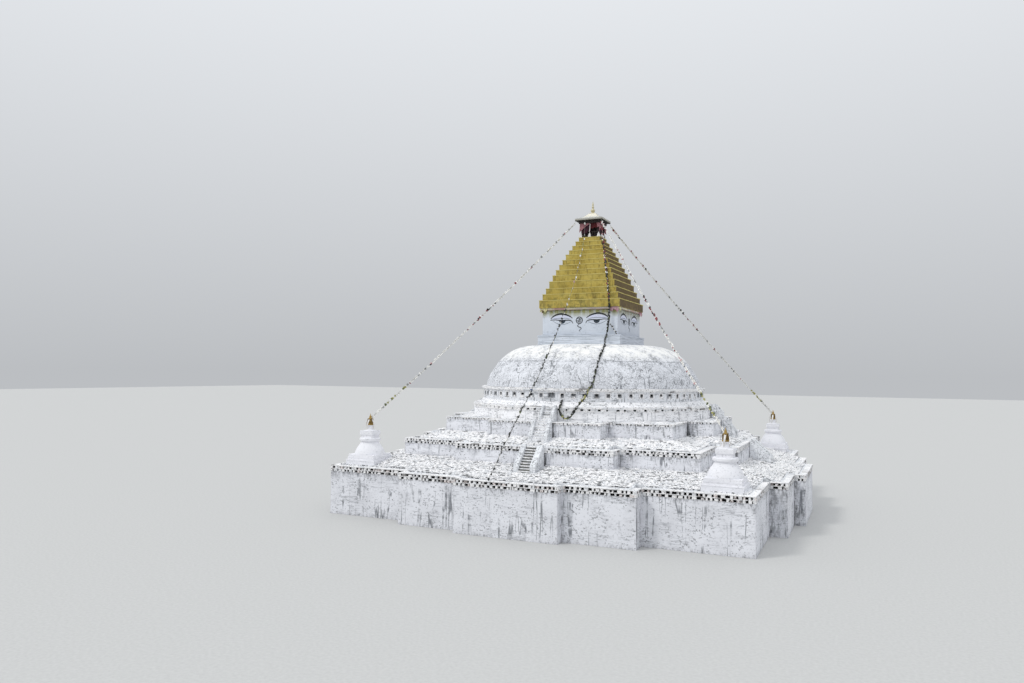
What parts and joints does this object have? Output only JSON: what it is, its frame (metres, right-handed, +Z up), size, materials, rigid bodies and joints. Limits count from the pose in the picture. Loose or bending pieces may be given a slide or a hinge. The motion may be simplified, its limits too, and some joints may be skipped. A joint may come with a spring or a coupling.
{
  "type": "whitewashed stupa with three stepped terraces and a stepped spire",
  "caption": "Whitewashed stupa: stepped terraces with stairs, a drum with niches, a low dome, a square tower with painted eyes, a yellow stepped spire and a small canopy.",
  "frame": {"origin": "centre of the stupa's footprint, on the ground below the spire", "axes": "+Z up, the front side with its middle stair towards -Y, +X to the right of the front"},
  "size_m": [38.42, 38.42, 28.28],
  "materials": {
    "whitewash": "thick rough limewash over rubble masonry, streaked grey, stones showing dark on the slopes",
    "coping_stone": "rows of small limewashed stone blocks with dark gaps",
    "tower_paint": "smooth pale blue-white paint on plaster, with painted eyes",
    "yellow_paint": "weathered ochre yellow paint on masonry steps, lighter on the edges, dull green low down",
    "gilding": "dull pale gilding",
    "dark_timber": "dark weathered timber",
    "pink_cloth": "faded dusty pink cloth",
    "cream_cloth": "faded cream yellow cloth",
    "garland_cord": "pale thin cord with small worn flags, mostly white"
  },
  "bodies": {
    "root": {"lower_terrace": "whitewash", "lower_coping": "coping_stone", "middle_terrace": "whitewash", "middle_coping": "coping_stone", "upper_terrace": "whitewash", "upper_coping": "coping_stone", "base_ring": "whitewash", "drum_front": "whitewash", "drum_right": "whitewash", "drum_back": "whitewash", "drum_left": "whitewash", "drum_cornice": "whitewash", "dome": "whitewash", "tower_base": "tower_paint", "tower": "tower_paint", "spire_step_01": "yellow_paint", "spire_step_02": "yellow_paint", "spire_step_03": "yellow_paint", "spire_step_04": "yellow_paint", "spire_step_05": "yellow_paint", "spire_step_06": "yellow_paint", "spire_step_07": "yellow_paint", "spire_step_08": "yellow_paint", "spire_step_09": "yellow_paint", "spire_step_10": "yellow_paint", "spire_step_11": "yellow_paint", "spire_step_12": "yellow_paint", "spire_step_13": "yellow_paint", "pavilion": "dark_timber", "valance": "pink_cloth", "canopy": "gilding", "pinnacle": "gilding", "tower_cloth": "cream_cloth", "lower_stair_front": "whitewash", "middle_stair_front": "whitewash", "upper_stair_front": "whitewash", "lower_stair_right": "whitewash", "middle_stair_right": "whitewash", "upper_stair_right": "whitewash", "lower_stair_back": "whitewash", "middle_stair_back": "whitewash", "upper_stair_back": "whitewash", "lower_stair_left": "whitewash", "middle_stair_left": "whitewash", "upper_stair_left": "whitewash", "corner_stupa_front_left": "whitewash", "corner_finial_front_left": "gilding", "corner_stupa_front_right": "whitewash", "corner_finial_front_right": "gilding", "corner_stupa_back_right": "whitewash", "corner_finial_back_right": "gilding", "corner_stupa_back_left": "whitewash", "corner_finial_back_left": "gilding", "garland_front_left": "garland_cord", "garland_front_right": "garland_cord", "garland_back_right": "garland_cord", "garland_back_left": "garland_cord", "garland_front": "garland_cord", "garland_dome": "garland_cord", "garland_tail": "garland_cord"}
  },
  "joints": []
}
